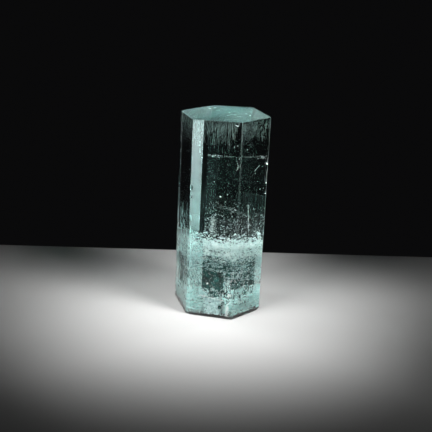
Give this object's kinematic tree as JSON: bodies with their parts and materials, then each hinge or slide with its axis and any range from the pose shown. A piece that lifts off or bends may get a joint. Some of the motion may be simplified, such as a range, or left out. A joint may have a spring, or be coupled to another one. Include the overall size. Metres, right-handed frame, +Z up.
{
  "type": "aquamarine crystal",
  "caption": "Clear pale blue-green hexagonal beryl prism with a flat top and a flat foot, standing upright.",
  "frame": {"origin": "middle of the foot's underside, at the middle of the crystal's box", "axes": "+Z up along the prism, -Y towards the widest face in view, +X to its right"},
  "size_m": [0.0274, 0.0286, 0.0602],
  "materials": {
    "beryl": "natural crystal faces, glassy"
  },
  "bodies": {
    "root": {"crystal": "beryl"}
  },
  "joints": []
}
